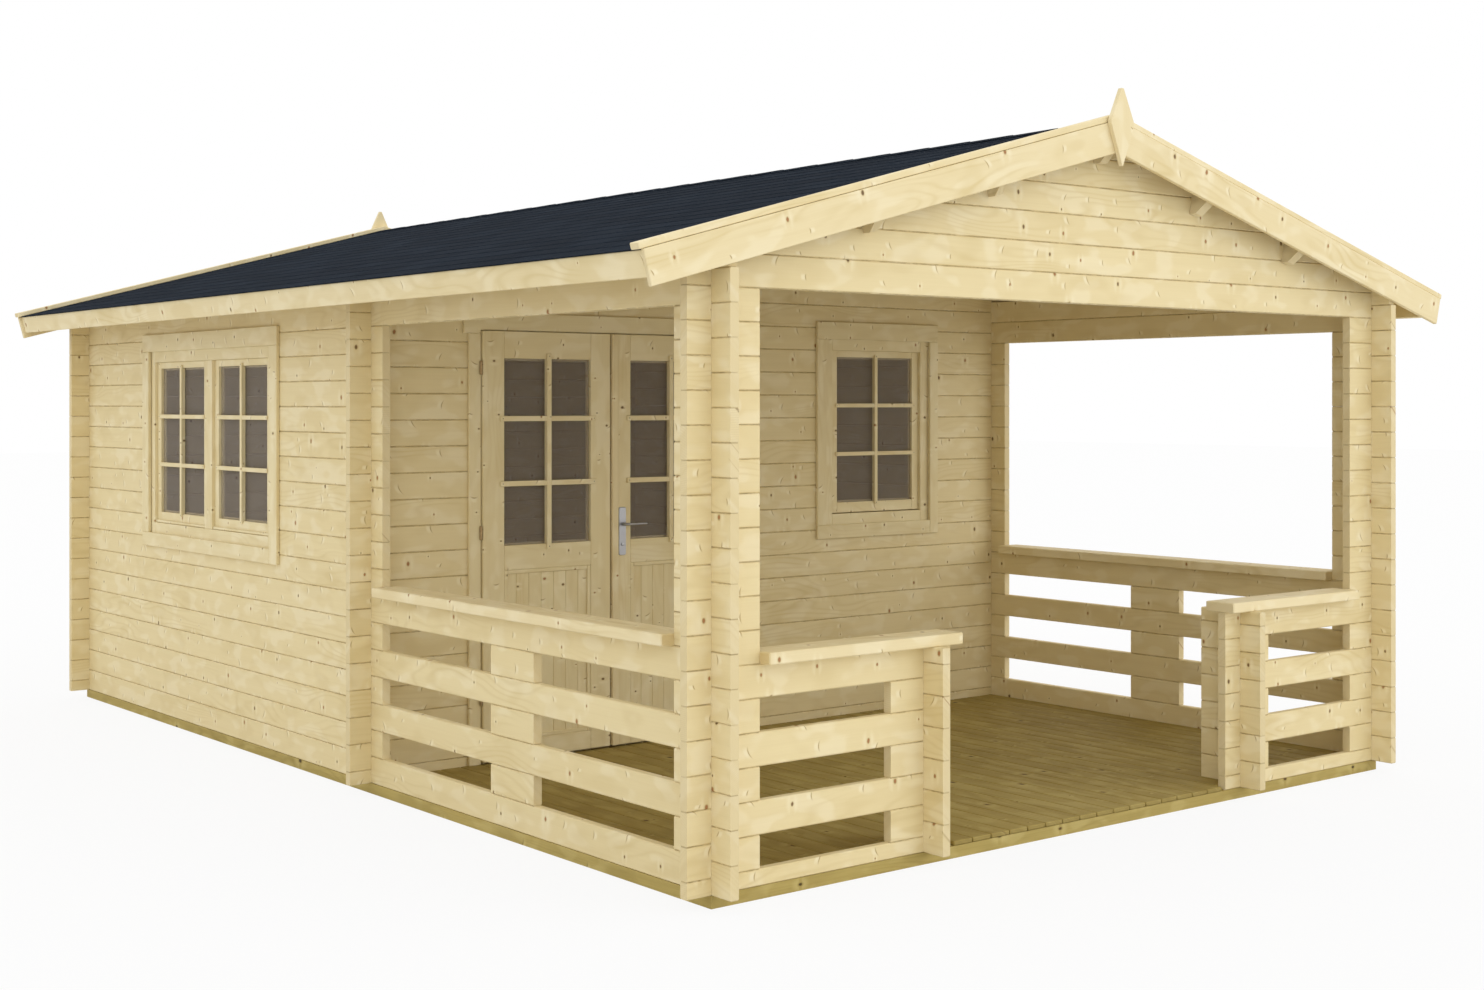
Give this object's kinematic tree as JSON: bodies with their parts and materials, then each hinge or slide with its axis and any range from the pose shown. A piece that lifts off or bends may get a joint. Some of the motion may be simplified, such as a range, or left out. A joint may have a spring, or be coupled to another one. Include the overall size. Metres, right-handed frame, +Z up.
{
  "type": "log cabin",
  "caption": "Log cabin with a roofed open veranda, railings of spaced logs, interlocking corners, a low gable roof with finials, paired glazed doors and barred windows.",
  "frame": {"origin": "on the ground at the middle of the plan", "axes": "+Z up, -Y out of the veranda's front, +X to the right when facing the front"},
  "size_m": [4.7758, 6.3306, 3.0162],
  "materials": {
    "log_spruce": "planed pale spruce, bevelled edges",
    "planed_spruce": "planed pale spruce boards",
    "sawn_spruce": "tongued and grooved spruce boards",
    "treated_wood": "pressure treated, greenish brown",
    "joinery_pine": "planed pine joinery, clear oiled",
    "felt_shingle": "granulated bitumen shingle, dark blue grey",
    "window_glass": "clear float glass",
    "satin_steel": "satin steel"
  },
  "bodies": {
    "cabin": {"left_wall": "log_spruce", "right_wall": "log_spruce", "back_wall": "log_spruce", "back_gable": "log_spruce", "door_wall_left": "log_spruce", "door_wall_right": "log_spruce", "door_wall_gable": "log_spruce", "front_gable": "log_spruce", "wall_plates": "log_spruce", "front_left_post": "log_spruce", "front_right_post": "log_spruce", "left_railing": "log_spruce", "right_railing": "log_spruce", "front_left_railing": "log_spruce", "front_right_railing": "log_spruce", "handrails": "planed_spruce", "eave_fascias": "planed_spruce", "bargeboards": "planed_spruce", "cover_strips": "planed_spruce", "finials": "planed_spruce", "purlins": "sawn_spruce", "left_roof_boards": "sawn_spruce", "right_roof_boards": "sawn_spruce", "cabin_floor": "sawn_spruce", "base_frame": "treated_wood", "veranda_deck": "treated_wood", "side_window_trim": "joinery_pine", "side_window_frame": "joinery_pine", "side_window_sashes": "joinery_pine", "front_window_trim": "joinery_pine", "front_window_frame": "joinery_pine", "front_window_sash": "joinery_pine", "door_trim": "joinery_pine", "door_frame": "joinery_pine", "left_shingles": "felt_shingle", "right_shingles": "felt_shingle", "side_window_glass": "window_glass", "front_window_glass": "window_glass", "hinge_pins": "satin_steel"},
    "left_door": {"left_door_leaf": "joinery_pine", "left_door_glass": "window_glass", "left_door_hinges": "satin_steel"},
    "right_door": {"right_door_leaf": "joinery_pine", "right_door_glass": "window_glass", "right_door_hinges": "satin_steel", "meeting_strip": "planed_spruce", "handle_plates": "satin_steel"},
    "lever": {"door_lever": "satin_steel"}
  },
  "joints": [
    {"name": "left_door_swing", "type": "hinge", "parent": "cabin", "child": "left_door", "pos_m": [-1.4497, -0.576, 1], "axis": [0, 0, -1], "range_deg": [0, 110]},
    {"name": "right_door_swing", "type": "hinge", "parent": "cabin", "child": "right_door", "pos_m": [0.0013, -0.576, 1], "axis": [0, 0, 1], "range_deg": [0, 110]},
    {"name": "lever_press", "type": "hinge", "parent": "right_door", "child": "lever", "pos_m": [-0.6592, -0.562, 1.152], "axis": [0, 1, 0], "range_deg": [0, 40], "stiffness_Nm_per_rad": 2, "springref_deg": -17.19}
  ]
}
